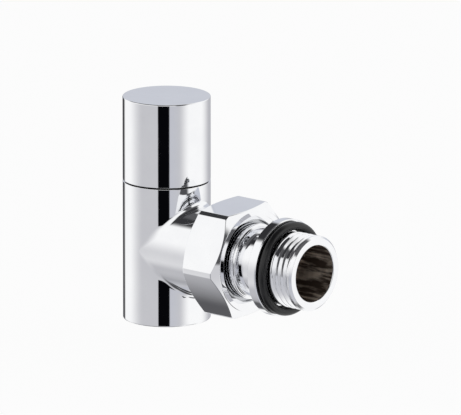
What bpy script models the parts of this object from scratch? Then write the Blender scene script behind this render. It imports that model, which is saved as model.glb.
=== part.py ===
"""Angle lockshield valve with a round cap, a union nut and a threaded radiator tail.

Frame: the pipe axis is Z, the centre of the pipe inlet's end face is the origin, and the
radiator branch leaves along +X. Sizes are in millimetres times MM, so the model is in metres.
Radii grow outwards from the spindle and from the tail's bore, and heights and reaches add up
from the inlet and from the pipe axis, so each piece takes its place from the one that holds it.
"""

import math

import bmesh
import bpy
from mathutils import Matrix, Vector

MM = 0.001

# ---- running clearances -------------------------------------------------------------------
CLEARANCE = 0.3 * MM             # between pieces that touch on the real valve
ROUND_STEPS = 44                 # facets round the large turned pieces
SMALL_STEPS = 28                 # facets round the small ones inside
RING_SECTION_STEPS = 6           # facets round the section of a small ring
SHOWN_SECTION_STEPS = 10         # and of the ring that shows
MERGE_DISTANCE = 0.01 * MM       # points of a turned piece closer than this are one point

# ---- spindle and headwork, across the pipe axis ---------------------------------------------
KEY_ACROSS_FLATS = 5.0 * MM      # hexagon key that sets the spindle
KEY_DEPTH = 8.0 * MM
SPINDLE_THREAD_RADIUS = 4.0 * MM
SPINDLE_SHOULDER = 1.1 * MM      # how far the sealing part stands out from the threaded part
SPINDLE_SEAL_SECTION = 1.0 * MM
NOSE_RADIUS = 2.6 * MM           # journal that carries the seal carrier
BONNET_SEAL_WALL = 2.3 * MM      # between the spindle bore and the outer seal's groove
BONNET_SEAL_SECTION = 1.1 * MM
BODY_WALL = 2.6 * MM             # round the bonnet
SLEEVE_WALL = 2.3 * MM           # upper part of the bonnet, round the spindle thread
GRIP_SECTION = 1.2 * MM          # ring that holds the cap by friction
GRIP_PROUD = 0.3 * MM
STOP_RING_SEAT = 0.45 * MM       # how far the stop ring enters the bonnet
STOP_RING_OVERLAP = 0.6 * MM     # how far it covers the spindle

# ---- waterway and seat, across the pipe axis --------------------------------------------------
CHAMBER_LEDGE = 0.8 * MM         # ledge under the bonnet
CARRIER_GAP = 1.0 * MM           # water gap round the seal carrier
CARRIER_SKIRT = 0.7 * MM         # lip round the rubber disc
SEAL_OVERHANG = 0.2 * MM
SEAT_LIP_WIDTH = 0.9 * MM
SOCKET_STEP = 2.0 * MM           # shoulder that a pipe end stops against
SOCKET_LEAD_IN = 0.8 * MM
WASHER_GAP = 0.9 * MM
SCREW_HEAD_RADIUS = 2.9 * MM
SCREW_RADIUS = 1.5 * MM
HUB_WALL = 1.7 * MM
SWIVEL_SECTION = 0.7 * MM

# ---- heights, from the inlet's end face --------------------------------------------------------
SOCKET_DEPTH = 11.0 * MM
SEAT_WEB = 3.2 * MM
SEAT_LIP_HEIGHT = 1.0 * MM
BRANCH_BORE_RADIUS = 6.0 * MM
BRANCH_LIFT = 0.6 * MM           # branch bore's lowest line above the seat floor
CHAMBER_HEAD = 1.8 * MM          # chamber above the branch bore
BONNET_THREAD_LENGTH = 9.9 * MM
SEAM = 0.4 * MM                  # shadow line between body and cap
SEAL_THICKNESS = 2.0 * MM
SEAL_BITE = 1.4 * MM             # how far the carrier's lip reaches down the disc
CARRIER_DISC = 3.0 * MM
HUB_HEIGHT = 4.2 * MM
NOSE_TIP_GAP = 0.2 * MM
WASHER_THICKNESS = 0.6 * MM
SCREW_HEAD_HEIGHT = 1.4 * MM
SCREW_LENGTH = 4.7 * MM
TRAVEL = 3.5 * MM                # seat closed to fully open
SPINDLE_BORE_LENGTH = 14.1 * MM
SHOULDER_GAP = 0.5 * MM
LOWER_RING_INSET = 2.6 * MM
SPINDLE_RING_SPACING = 4.5 * MM
SPINDLE_THREAD_LENGTH = 11.0 * MM
STOP_RING_THICKNESS = 0.8 * MM
BONNET_RIM = 0.7 * MM
BONNET_FLANGE = 1.4 * MM
BONNET_HEX_HEIGHT = 5.0 * MM
HEX_LEDGE = 0.6 * MM
FLANGE_GAP = 0.6 * MM
GRIP_DROP = 6.5 * MM

# ---- cap ------------------------------------------------------------------------------------
CAP_WALL = 1.0 * MM
CAP_TOP = 1.5 * MM
CAP_EDGE_RADIUS = 0.5 * MM
CAP_HEADROOM = 2.6 * MM
INSERT_WEB = 2.0 * MM
INSERT_FOOT_GAP = 1.0 * MM
FINGER_SLOT_WIDTH = 1.2 * MM
FINGER_SLOT_HEIGHT = 7.8 * MM
FINGER_SLOT_PAIRS = 3

# ---- branch of the body ------------------------------------------------------------------------
BASE_EDGE_RADIUS = 0.8 * MM
NECK_INSET = 0.15 * MM           # neck radius is this much less than the body's
NECK_FILLET = 2.0 * MM           # rolling-ball fillet between neck and body
FILLET_STEPS = 7
FILLET_ROOT = 0.3 * MM           # how far the fillet's skirt runs under the body's surface
NECK_LENGTH = 7.0 * MM
SPIGOT_LENGTH = 7.5 * MM
SPIGOT_MARGIN = 0.6 * MM         # spigot thread outside the split ring
THREAD_CHAMFER = 0.7 * MM
SPIGOT_SOCKET_SPARE = 0.7 * MM   # socket beyond the tail's nose

# ---- union nut -----------------------------------------------------------------------------------
NUT_WALL = 1.3 * MM              # thread to flat
NUT_LENGTH = 12.7 * MM
NUT_LIP = 1.7 * MM               # shoulder that pulls on the split ring
NUT_BLANK_MARGIN = 1.9 * MM      # turned blank outside the flats, short of their sharp corners
NUT_FACE_MARGIN = 0.4 * MM       # round end face outside the flats
NUT_MOUTH_CHAMFER = 1.3 * MM
NUT_TURN = math.radians(5.0)     # as it stands when tightened

# ---- radiator tail -------------------------------------------------------------------------------
TAIL_BORE_RADIUS = 7.75 * MM
TAIL_BORE_DEPTH = 12.5 * MM
TAIL_REAR_BORE_RADIUS = 5.7 * MM
TAIL_KEY_LAND = 0.3 * MM         # hexagon's flats outside the rear bore
TAIL_KEY_DEPTH = 7.0 * MM
TAIL_WALL = 1.75 * MM
TAIL_THREAD_WALL = 2.55 * MM
THREAD_RELIEF = 0.4 * MM
TAIL_SHOULDER = 0.9 * MM         # shoulder proud of the neck
TAIL_FLANGE_STEP = 0.5 * MM      # flange behind the split ring, proud of the shoulder
TAIL_FLANGE = 1.0 * MM
SHOULDER_PROUD = 0.6 * MM        # shoulder in front of the nut
NOSE_WALL = 2.1 * MM
UNION_SEAL_SECTION = 1.1 * MM
TAIL_NOSE_LENGTH = 3.5 * MM
SPLIT_RING_THICKNESS = 1.2 * MM
SPLIT_RING_LAND = 1.1 * MM       # behind the nut's lip
SPLIT_RING_GAP = 3.0 * MM
MOUTH_GAP = 0.4 * MM
TAIL_NECK_LENGTH = 7.5 * MM
TAIL_STEP_WIDTH = 0.8 * MM
COLLAR_THICKNESS = 2.8 * MM
COLLAR_MARGIN = 0.5 * MM         # collar outside the radiator seal
COLLAR_CHAMFER = 0.25 * MM
RELIEF_WIDTH = 2.5 * MM
TAIL_THREAD_LENGTH = 7.4 * MM
TAIL_LEAD_IN = 0.6 * MM
RADIATOR_SEAL_SECTION = 2.6 * MM

# ---- worked-out radii round the pipe axis ----------------------------------------------------------
spindle_radius = SPINDLE_THREAD_RADIUS + SPINDLE_SHOULDER
spindle_bore = spindle_radius + CLEARANCE
spindle_thread_bore = SPINDLE_THREAD_RADIUS + CLEARANCE
bonnet_radius = spindle_bore + BONNET_SEAL_WALL + CLEARANCE + BONNET_SEAL_SECTION
bonnet_socket = bonnet_radius + CLEARANCE
body_radius = bonnet_socket + BODY_WALL
chamber_radius = bonnet_socket - CHAMBER_LEDGE
carrier_radius = chamber_radius - CARRIER_GAP
seal_radius = carrier_radius - CARRIER_SKIRT - CLEARANCE
seat_lip_radius = seal_radius - SEAL_OVERHANG
seat_bore = seat_lip_radius - SEAT_LIP_WIDTH
socket_radius = seat_bore + SOCKET_STEP
washer_radius = seat_bore - WASHER_GAP
screw_hole = SCREW_RADIUS + CLEARANCE
nose_socket = NOSE_RADIUS + CLEARANCE
hub_radius = nose_socket + HUB_WALL
sleeve_radius = spindle_thread_bore + SLEEVE_WALL
grip_radius = sleeve_radius + GRIP_PROUD
cap_bore = body_radius - CAP_WALL
bonnet_flange_radius = cap_bore - FLANGE_GAP
bonnet_hex_radius = bonnet_flange_radius - HEX_LEDGE

# ---- worked-out heights ----------------------------------------------------------------------------
seat_floor = SOCKET_DEPTH + SEAT_WEB
seat_top = seat_floor + SEAT_LIP_HEIGHT
branch_height = seat_floor + BRANCH_LIFT + BRANCH_BORE_RADIUS
chamber_top = branch_height + BRANCH_BORE_RADIUS + CHAMBER_HEAD
body_top = chamber_top + BONNET_THREAD_LENGTH
seal_bottom = seat_top + CLEARANCE
seal_top = seal_bottom + SEAL_THICKNESS
carrier_bottom = seal_top + CLEARANCE
washer_top = seal_bottom - CLEARANCE
screw_head_top = washer_top - WASHER_THICKNESS - CLEARANCE
screw_top = screw_head_top + SCREW_LENGTH
hub_bottom = carrier_bottom + CARRIER_DISC
hub_top = hub_bottom + HUB_HEIGHT
nose_bottom = hub_bottom + NOSE_TIP_GAP + CLEARANCE
swivel_height = (nose_bottom + hub_top) / 2
spindle_bottom = hub_top + CLEARANCE
bonnet_bottom = chamber_top + CLEARANCE
spindle_bore_top = bonnet_bottom + SPINDLE_BORE_LENGTH
spindle_shoulder_height = spindle_bore_top - TRAVEL - SHOULDER_GAP
spindle_top = spindle_shoulder_height + SPINDLE_THREAD_LENGTH
stop_ring_bottom = spindle_top + TRAVEL + CLEARANCE
stop_ring_top = stop_ring_bottom + STOP_RING_THICKNESS
bonnet_top = stop_ring_top + CLEARANCE + BONNET_RIM
bonnet_flange_bottom = body_top + CLEARANCE
bonnet_flange_top = bonnet_flange_bottom + BONNET_FLANGE
bonnet_hex_top = bonnet_flange_top + BONNET_HEX_HEIGHT
grip_height = bonnet_top - GRIP_DROP
cap_bottom = body_top + SEAM
insert_bottom = bonnet_hex_top + INSERT_FOOT_GAP
insert_web_bottom = bonnet_top + CAP_HEADROOM
insert_top = insert_web_bottom + INSERT_WEB
cap_ceiling = insert_top + CLEARANCE
cap_top = cap_ceiling + CAP_TOP
bonnet_seal_height = bonnet_bottom + CLEARANCE + BONNET_SEAL_SECTION

# ---- worked-out reaches along the branch, from the pipe axis ---------------------------------------
neck_radius = body_radius - NECK_INSET
neck_end = body_radius + NECK_LENGTH
spigot_face = neck_end + SPIGOT_LENGTH
flange_back = spigot_face + CLEARANCE
flange_front = flange_back + TAIL_FLANGE
split_ring_back = flange_front + CLEARANCE
split_ring_front = split_ring_back + SPLIT_RING_THICKNESS
nut_lip_back = split_ring_front + CLEARANCE
nut_front = nut_lip_back + NUT_LIP
nut_back = nut_front - NUT_LENGTH
tail_shoulder_front = nut_front + SHOULDER_PROUD
tail_step_back = tail_shoulder_front + TAIL_NECK_LENGTH
collar_back = tail_step_back + TAIL_STEP_WIDTH
collar_front = collar_back + COLLAR_THICKNESS
thread_back = collar_front + RELIEF_WIDTH
tail_front = thread_back + TAIL_THREAD_LENGTH
tail_back = flange_back - TAIL_NOSE_LENGTH
tail_bore_end = tail_front - TAIL_BORE_DEPTH
tail_key_end = tail_bore_end - TAIL_KEY_DEPTH
spigot_socket_end = tail_back - SPIGOT_SOCKET_SPARE
union_seal_reach = (tail_back + flange_back) / 2
radiator_seal_reach = collar_front + CLEARANCE + RADIATOR_SEAL_SECTION / 2

# ---- worked-out radii round the branch axis --------------------------------------------------------
tail_neck_radius = TAIL_BORE_RADIUS + TAIL_WALL
tail_shoulder_radius = tail_neck_radius + TAIL_SHOULDER
tail_flange_radius = tail_shoulder_radius + TAIL_FLANGE_STEP
nut_mouth = tail_flange_radius + MOUTH_GAP
split_ring_radius = nut_mouth + SPLIT_RING_LAND
spigot_radius = split_ring_radius + SPIGOT_MARGIN
nut_bore = spigot_radius + CLEARANCE
nut_apothem = nut_bore + NUT_WALL
tail_thread_radius = TAIL_BORE_RADIUS + TAIL_THREAD_WALL
tail_relief_radius = tail_thread_radius - THREAD_RELIEF
radiator_seal_inner = tail_relief_radius + CLEARANCE
collar_radius = radiator_seal_inner + RADIATOR_SEAL_SECTION + COLLAR_MARGIN
union_groove_floor = TAIL_REAR_BORE_RADIUS + NOSE_WALL
tail_nose_radius = union_groove_floor + CLEARANCE + UNION_SEAL_SECTION
tail_key_apothem = TAIL_REAR_BORE_RADIUS + TAIL_KEY_LAND

PIPE_AXIS = Matrix.Identity(4)
BRANCH_AXIS = Matrix.Translation((0, 0, branch_height)) @ Matrix.Rotation(math.pi / 2, 4, "Y")
CUT_MARGIN = 1.0 * MM            # how far a cutter runs past the face it opens


# ---- scene, collections and materials --------------------------------------------------------------
def clear_scene():
    for thing in list(bpy.data.objects):
        bpy.data.objects.remove(thing, do_unlink=True)


def new_collection(name):
    collection = bpy.data.collections.new(name)
    bpy.context.scene.collection.children.link(collection)
    return collection


def new_material(name, color, roughness, metallic):
    material = bpy.data.materials.new(name)
    material.use_nodes = True
    shader = material.node_tree.nodes["Principled BSDF"]
    shader.inputs["Base Color"].default_value = (*color, 1.0)
    shader.inputs["Roughness"].default_value = roughness
    shader.inputs["Metallic"].default_value = metallic
    return material


# ---- shapes ---------------------------------------------------------------------------------------
def place_mesh(name, mesh, placement, collection):
    thing = bpy.data.objects.new(name, mesh)
    thing.matrix_world = placement
    collection.objects.link(thing)
    return thing


def turned(name, outline, placement, collection, closed=False, steps=ROUND_STEPS):
    """A profile of (radius, distance along the axis), outer side first from the far end, turned."""
    mesh = bpy.data.meshes.new(name)
    edges = [(i, i + 1) for i in range(len(outline) - 1)]
    if closed:
        edges.append((len(outline) - 1, 0))
    mesh.from_pydata([(radius, 0.0, reach) for radius, reach in outline], edges, [])
    thing = place_mesh(name, mesh, placement, collection)
    screw = thing.modifiers.new("Turn", "SCREW")
    screw.axis = "Z"
    screw.steps = steps
    screw.render_steps = steps
    screw.use_merge_vertices = True
    screw.merge_threshold = MERGE_DISTANCE
    return thing


def washer_outline(inner, outer, low, high):
    return [(outer, high), (outer, low), (inner, low), (inner, high)]


def quarter_arc(centre, radius, start, steps=4):
    """Points of a quarter circle, clockwise in the (radius, height) plane from angle start."""
    points = []
    for i in range(steps + 1):
        angle = start - (math.pi / 2) * i / steps
        points.append((centre[0] + radius * math.cos(angle), centre[1] + radius * math.sin(angle)))
    return points


def hexagon_prism(name, apothem, low, high, turn, placement, collection):
    shape = bmesh.new()
    bmesh.ops.create_cone(
        shape, cap_ends=True, segments=6,
        radius1=apothem / math.cos(math.pi / 6), radius2=apothem / math.cos(math.pi / 6),
        depth=high - low,
        matrix=Matrix.Translation((0, 0, (low + high) / 2)) @ Matrix.Rotation(turn, 4, "Z"))
    mesh = bpy.data.meshes.new(name)
    shape.to_mesh(mesh)
    shape.free()
    return place_mesh(name, mesh, placement, collection)


def block(name, size, centre, turn, placement, collection):
    shape = bmesh.new()
    bmesh.ops.create_cube(
        shape, size=1.0,
        matrix=Matrix.Rotation(turn, 4, "Z") @ Matrix.Translation(centre) @ Matrix.Diagonal((*size, 1)))
    mesh = bpy.data.meshes.new(name)
    shape.to_mesh(mesh)
    shape.free()
    return place_mesh(name, mesh, placement, collection)


def ring_of_wire(name, inner_radius, section, reach, placement, collection, material,
                 steps=SMALL_STEPS, section_steps=RING_SECTION_STEPS):
    """A ring of round section, such as an O-ring."""
    bpy.ops.mesh.primitive_torus_add(
        major_radius=inner_radius + section / 2, minor_radius=section / 2,
        major_segments=steps, minor_segments=section_steps)
    mesh = bpy.context.object.data
    bpy.data.objects.remove(bpy.context.object, do_unlink=True)
    mesh.name = name
    mesh.transform(Matrix.Translation((0, 0, reach)))
    ring = place_mesh(name, mesh, placement, collection)
    return finish(ring, material, sharp_angle=math.pi)


def loft(name, rings, placement, collection):
    """A closed solid through rings of points, with a flat cap on the first and the last."""
    shape = bmesh.new()
    loops = [[shape.verts.new(point) for point in ring] for ring in rings]
    count = len(rings[0])
    for near, far in zip(loops, loops[1:]):
        for i in range(count):
            j = (i + 1) % count
            shape.faces.new((near[i], near[j], far[j], far[i]))
    shape.faces.new(loops[0])
    shape.faces.new(loops[-1])
    bmesh.ops.recalc_face_normals(shape, faces=shape.faces)
    mesh = bpy.data.meshes.new(name)
    shape.to_mesh(mesh)
    shape.free()
    return place_mesh(name, mesh, placement, collection)


def combine(target, tool, operation):
    boolean = target.modifiers.new(operation.title() + " " + tool.name, "BOOLEAN")
    boolean.operation = operation
    boolean.solver = "EXACT"
    boolean.object = tool
    tool.display_type = "WIRE"
    tool.hide_render = True


def finish(thing, material, sharp_angle=math.radians(30.0)):
    """Fix the modifiers into the mesh, keep true corners sharp and give the piece its material."""
    depsgraph = bpy.context.evaluated_depsgraph_get()
    mesh = bpy.data.meshes.new_from_object(thing.evaluated_get(depsgraph))
    thing.modifiers.clear()
    thing.data = mesh
    mesh.name = thing.name
    mesh.shade_smooth()
    mesh.set_sharp_from_angle(angle=sharp_angle)
    mesh.materials.clear()
    mesh.materials.append(material)
    return thing


# ---- body --------------------------------------------------------------------------------------------
def circle_ring(radius, reach):
    """A ring round the branch axis, in the frame of the body."""
    points = []
    for i in range(ROUND_STEPS):
        angle = 2 * math.pi * i / ROUND_STEPS
        points.append(Vector((reach, radius * math.sin(angle), branch_height + radius * math.cos(angle))))
    return points


def fillet_rings():
    """Rings of the surface that a ball leaves when it rolls round the corner of neck and body.

    The ball's centre keeps one ball radius off both cylinders, so at each angle round the branch
    its reach follows from the body's circle. The arc between its two contact points is the fillet.
    """
    rings = [[] for _ in range(FILLET_STEPS + 2)]
    around_body = body_radius + NECK_FILLET
    around_neck = neck_radius + NECK_FILLET
    for i in range(ROUND_STEPS):
        angle = 2 * math.pi * i / ROUND_STEPS
        side = around_neck * math.sin(angle)
        rise = around_neck * math.cos(angle)
        centre = Vector((math.sqrt(around_body ** 2 - side ** 2), side, rise))
        to_body = -Vector((centre.x, centre.y, 0)).normalized()
        to_neck = -Vector((0, centre.y, centre.z)).normalized()
        lift = Vector((0, 0, branch_height))
        rings[0].append(lift + centre + to_body * (NECK_FILLET + FILLET_ROOT))
        sweep = to_body.angle(to_neck)
        for step in range(FILLET_STEPS + 1):
            share = step / FILLET_STEPS
            arm = (math.sin((1 - share) * sweep) * to_body + math.sin(share * sweep) * to_neck)
            rings[step + 1].append(lift + centre + arm * (NECK_FILLET / math.sin(sweep)))
    return rings


def make_body(parts, cutters, material):
    base_arc = quarter_arc(
        (body_radius - BASE_EDGE_RADIUS, BASE_EDGE_RADIUS), BASE_EDGE_RADIUS, 0.0)
    outline = [(0.0, body_top), (body_radius, body_top)] + base_arc + [(0.0, 0.0)]
    body = turned("valve_body", outline, PIPE_AXIS, parts)

    branch_rings = [circle_ring(neck_radius - FILLET_ROOT, 0.0)] + fillet_rings()
    branch_rings += [
        circle_ring(neck_radius, neck_end),
        circle_ring(spigot_radius - THREAD_CHAMFER, neck_end),
        circle_ring(spigot_radius, neck_end + THREAD_CHAMFER),
        circle_ring(spigot_radius, spigot_face - THREAD_CHAMFER),
        circle_ring(spigot_radius - THREAD_CHAMFER, spigot_face),
    ]
    branch = loft("body_branch", branch_rings, PIPE_AXIS, cutters)
    combine(body, branch, "UNION")

    bore_outline = [
        (0.0, body_top + CUT_MARGIN),
        (bonnet_socket, body_top + CUT_MARGIN),
        (bonnet_socket, chamber_top),
        (chamber_radius, chamber_top),
        (chamber_radius, seat_floor),
        (seat_lip_radius, seat_floor),
        (seat_lip_radius, seat_top),
        (seat_bore, seat_top),
        (seat_bore, SOCKET_DEPTH),
        (socket_radius, SOCKET_DEPTH),
        (socket_radius, SOCKET_LEAD_IN),
        (socket_radius + SOCKET_LEAD_IN, 0.0),
        (socket_radius + SOCKET_LEAD_IN, -CUT_MARGIN),
        (0.0, -CUT_MARGIN),
    ]
    combine(body, turned("body_bore", bore_outline, PIPE_AXIS, cutters), "DIFFERENCE")

    socket = tail_nose_radius + CLEARANCE
    outlet_outline = [
        (0.0, spigot_face + CUT_MARGIN),
        (socket, spigot_face + CUT_MARGIN),
        (socket, spigot_socket_end),
        (BRANCH_BORE_RADIUS, spigot_socket_end),
        (BRANCH_BORE_RADIUS, chamber_radius / 2),
        (0.0, chamber_radius / 2),
    ]
    combine(body, turned("outlet_bore", outlet_outline, BRANCH_AXIS, cutters), "DIFFERENCE")
    return finish(body, material)


# ---- bonnet ------------------------------------------------------------------------------------------
def groove(radius, section, centre):
    """Four corners of a groove for a ring that lies flush with the surface, upper wall first."""
    floor = radius - section - CLEARANCE
    half = section / 2 + CLEARANCE
    return [(radius, centre + half), (floor, centre + half), (floor, centre - half), (radius, centre - half)]


def make_bonnet(parts, cutters, material):
    grip_floor = grip_radius - GRIP_SECTION - CLEARANCE
    grip_half = GRIP_SECTION / 2 + CLEARANCE
    outline = [
        (0.0, bonnet_top),
        (sleeve_radius - BONNET_RIM / 2, bonnet_top),
        (sleeve_radius, bonnet_top - BONNET_RIM / 2),
        (sleeve_radius, grip_height + grip_half),
        (grip_floor, grip_height + grip_half),
        (grip_floor, grip_height - grip_half),
        (sleeve_radius, grip_height - grip_half),
        (sleeve_radius, bonnet_flange_top),
        (bonnet_flange_radius, bonnet_flange_top),
        (bonnet_flange_radius, bonnet_flange_bottom),
        (bonnet_radius, bonnet_flange_bottom),
    ]
    outline += groove(bonnet_radius, BONNET_SEAL_SECTION, bonnet_seal_height)
    outline += [(bonnet_radius, bonnet_bottom), (0.0, bonnet_bottom)]
    bonnet = turned("bonnet", outline, PIPE_AXIS, parts, steps=SMALL_STEPS)

    spanner_hex = hexagon_prism(
        "bonnet_hex", bonnet_hex_radius * math.cos(math.pi / 6), bonnet_flange_top - BONNET_FLANGE / 2,
        bonnet_hex_top, 0.0, PIPE_AXIS, cutters)
    combine(bonnet, spanner_hex, "UNION")

    stop_groove = spindle_thread_bore + STOP_RING_SEAT + CLEARANCE
    bore_outline = [
        (0.0, bonnet_top + CUT_MARGIN),
        (spindle_thread_bore, bonnet_top + CUT_MARGIN),
        (spindle_thread_bore, stop_ring_top + CLEARANCE),
        (stop_groove, stop_ring_top + CLEARANCE),
        (stop_groove, stop_ring_bottom - CLEARANCE),
        (spindle_thread_bore, stop_ring_bottom - CLEARANCE),
        (spindle_thread_bore, spindle_bore_top),
        (spindle_bore, spindle_bore_top),
        (spindle_bore, bonnet_bottom - CUT_MARGIN),
        (0.0, bonnet_bottom - CUT_MARGIN),
    ]
    bore = turned("bonnet_bore", bore_outline, PIPE_AXIS, cutters, steps=SMALL_STEPS)
    combine(bonnet, bore, "DIFFERENCE")
    return finish(bonnet, material)


def open_ring(name, inner, outer, low, high, gap, placement, parts, cutters, material):
    """A flat ring with a gap, as a snap ring has, so that it can be sprung into its groove."""
    ring = turned(name, washer_outline(inner, outer, low, high), placement, parts, closed=True)
    reach = outer + CUT_MARGIN
    slot = block(
        name + "_gap", (reach, gap, high - low + 2 * CUT_MARGIN), (reach / 2, 0, (low + high) / 2),
        0.0, placement, cutters)
    combine(ring, slot, "DIFFERENCE")
    return finish(ring, material)


# ---- spindle and seal carrier ------------------------------------------------------------------------
def make_spindle(parts, cutters, material):
    swivel_half = SWIVEL_SECTION / 2 + CLEARANCE
    swivel_floor = nose_socket + CLEARANCE - SWIVEL_SECTION - CLEARANCE
    outline = [(0.0, spindle_top), (SPINDLE_THREAD_RADIUS, spindle_top)]
    outline += [(SPINDLE_THREAD_RADIUS, spindle_shoulder_height), (spindle_radius, spindle_shoulder_height)]
    for ring_height in (upper_ring_height(), lower_ring_height()):
        outline += groove(spindle_radius, SPINDLE_SEAL_SECTION, ring_height)
    outline += [
        (spindle_radius, spindle_bottom),
        (NOSE_RADIUS, spindle_bottom),
        (NOSE_RADIUS, swivel_height + swivel_half),
        (swivel_floor, swivel_height + swivel_half),
        (swivel_floor, swivel_height - swivel_half),
        (NOSE_RADIUS, swivel_height - swivel_half),
        (NOSE_RADIUS, nose_bottom),
        (0.0, nose_bottom),
    ]
    spindle = turned("spindle", outline, PIPE_AXIS, parts, steps=SMALL_STEPS)
    socket = hexagon_prism(
        "key_socket", KEY_ACROSS_FLATS / 2, spindle_top - KEY_DEPTH, spindle_top + CUT_MARGIN,
        0.0, PIPE_AXIS, cutters)
    combine(spindle, socket, "DIFFERENCE")
    return finish(spindle, material)


def lower_ring_height():
    return bonnet_bottom + LOWER_RING_INSET


def upper_ring_height():
    return lower_ring_height() + SPINDLE_RING_SPACING


def make_seal_carrier(parts, material):
    swivel_half = SWIVEL_SECTION / 2 + CLEARANCE
    swivel_groove = nose_socket + 2 * CLEARANCE
    screw_hole_top = screw_top + CLEARANCE
    outline = [
        (nose_socket, hub_top),
        (hub_radius, hub_top),
        (hub_radius, hub_bottom),
        (carrier_radius, hub_bottom),
        (carrier_radius, carrier_bottom - SEAL_BITE),
        (carrier_radius - CARRIER_SKIRT, carrier_bottom - SEAL_BITE),
        (carrier_radius - CARRIER_SKIRT, carrier_bottom),
        (screw_hole, carrier_bottom),
        (screw_hole, screw_hole_top),
        (0.0, screw_hole_top),
    ]
    socket_outline = [
        (0.0, hub_bottom + NOSE_TIP_GAP),
        (nose_socket, hub_bottom + NOSE_TIP_GAP),
        (nose_socket, swivel_height - swivel_half),
        (swivel_groove, swivel_height - swivel_half),
        (swivel_groove, swivel_height + swivel_half),
        (nose_socket, swivel_height + swivel_half),
    ]
    carrier = turned("seal_carrier", socket_outline + outline, PIPE_AXIS, parts, steps=SMALL_STEPS)
    return finish(carrier, material)


def make_seal_screw(parts, cutters, material):
    head_bottom = screw_head_top - SCREW_HEAD_HEIGHT
    outline = [
        (0.0, screw_top),
        (SCREW_RADIUS, screw_top),
        (SCREW_RADIUS, screw_head_top),
        (SCREW_HEAD_RADIUS, screw_head_top),
        (SCREW_HEAD_RADIUS, head_bottom),
        (0.0, head_bottom),
    ]
    screw = turned("seal_screw", outline, PIPE_AXIS, parts, steps=SMALL_STEPS)
    slot_depth = SCREW_HEAD_HEIGHT / 2
    slot = block(
        "screw_slot", (2 * (SCREW_HEAD_RADIUS + CUT_MARGIN), SCREW_RADIUS / 2, 2 * slot_depth),
        (0, 0, head_bottom), 0.0, PIPE_AXIS, cutters)
    combine(screw, slot, "DIFFERENCE")
    return finish(screw, material)


# ---- cap ---------------------------------------------------------------------------------------------
def make_cap(parts, cutters, chrome, plastic):
    top_arc = quarter_arc(
        (body_radius - CAP_EDGE_RADIUS, cap_top - CAP_EDGE_RADIUS), CAP_EDGE_RADIUS, math.pi / 2)
    outline = [(0.0, cap_top)] + top_arc
    outline += [(body_radius, cap_bottom), (cap_bore, cap_bottom), (cap_bore, cap_ceiling), (0.0, cap_ceiling)]
    shell = finish(turned("cap_shell", outline, PIPE_AXIS, parts), chrome)

    insert_radius = cap_bore - CLEARANCE
    insert_bore = grip_radius + CLEARANCE
    insert_outline = [
        (0.0, insert_top),
        (insert_radius, insert_top),
        (insert_radius, insert_bottom),
        (insert_bore, insert_bottom),
        (insert_bore, insert_web_bottom),
        (0.0, insert_web_bottom),
    ]
    insert = turned("cap_insert", insert_outline, PIPE_AXIS, parts)
    for i in range(FINGER_SLOT_PAIRS):
        slot = block(
            f"finger_slot_{i + 1}",
            (2 * (insert_radius + CUT_MARGIN), FINGER_SLOT_WIDTH, 2 * FINGER_SLOT_HEIGHT),
            (0, 0, insert_bottom), math.pi * i / FINGER_SLOT_PAIRS, PIPE_AXIS, cutters)
        combine(insert, slot, "DIFFERENCE")
    return shell, finish(insert, plastic)


# ---- union nut ---------------------------------------------------------------------------------------
def make_union_nut(parts, cutters, material):
    blank_radius = nut_apothem + NUT_BLANK_MARGIN
    face_radius = nut_apothem + NUT_FACE_MARGIN
    bevel = (blank_radius - face_radius) * math.tan(math.radians(30.0))
    outline = [
        (face_radius, nut_front),
        (blank_radius, nut_front - bevel),
        (blank_radius, nut_back + bevel),
        (face_radius, nut_back),
        (nut_bore + THREAD_CHAMFER, nut_back),
        (nut_bore, nut_back + THREAD_CHAMFER),
        (nut_bore, nut_lip_back),
        (nut_mouth, nut_lip_back),
        (nut_mouth, nut_front - NUT_MOUTH_CHAMFER),
        (nut_mouth + NUT_MOUTH_CHAMFER, nut_front),
    ]
    nut = turned("union_nut", outline, BRANCH_AXIS, parts, closed=True)
    flats = hexagon_prism(
        "nut_flats", nut_apothem, nut_back - CUT_MARGIN, nut_front + CUT_MARGIN,
        NUT_TURN, BRANCH_AXIS, cutters)
    combine(nut, flats, "INTERSECT")
    return finish(nut, material)


# ---- radiator tail -----------------------------------------------------------------------------------
def make_tailpiece(parts, cutters, material):
    outline = [
        (TAIL_BORE_RADIUS, tail_front),
        (tail_thread_radius - TAIL_LEAD_IN, tail_front),
        (tail_thread_radius, tail_front - TAIL_LEAD_IN),
        (tail_thread_radius, thread_back),
        (tail_relief_radius, thread_back),
        (tail_relief_radius, collar_front),
        (collar_radius - COLLAR_CHAMFER, collar_front),
        (collar_radius, collar_front - COLLAR_CHAMFER),
        (collar_radius, collar_back + COLLAR_CHAMFER),
        (collar_radius - COLLAR_CHAMFER, collar_back),
        (tail_shoulder_radius, collar_back),
        (tail_shoulder_radius, tail_step_back),
        (tail_neck_radius, tail_step_back),
        (tail_neck_radius, tail_shoulder_front),
        (tail_shoulder_radius, tail_shoulder_front),
        (tail_shoulder_radius, nut_lip_back),
        (tail_neck_radius, nut_lip_back),
        (tail_neck_radius, flange_front),
        (tail_flange_radius, flange_front),
        (tail_flange_radius, flange_back),
        (tail_nose_radius, flange_back),
    ]
    outline += groove(tail_nose_radius, UNION_SEAL_SECTION, union_seal_reach)
    outline += [
        (tail_nose_radius, tail_back),
        (TAIL_REAR_BORE_RADIUS, tail_back),
        (TAIL_REAR_BORE_RADIUS, tail_bore_end),
        (TAIL_BORE_RADIUS, tail_bore_end),
    ]
    tail = turned("tailpiece", outline, BRANCH_AXIS, parts, closed=True)
    key = hexagon_prism(
        "tail_key_socket", tail_key_apothem, tail_key_end, tail_bore_end + CUT_MARGIN,
        0.0, BRANCH_AXIS, cutters)
    combine(tail, key, "DIFFERENCE")
    return finish(tail, material)


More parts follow.
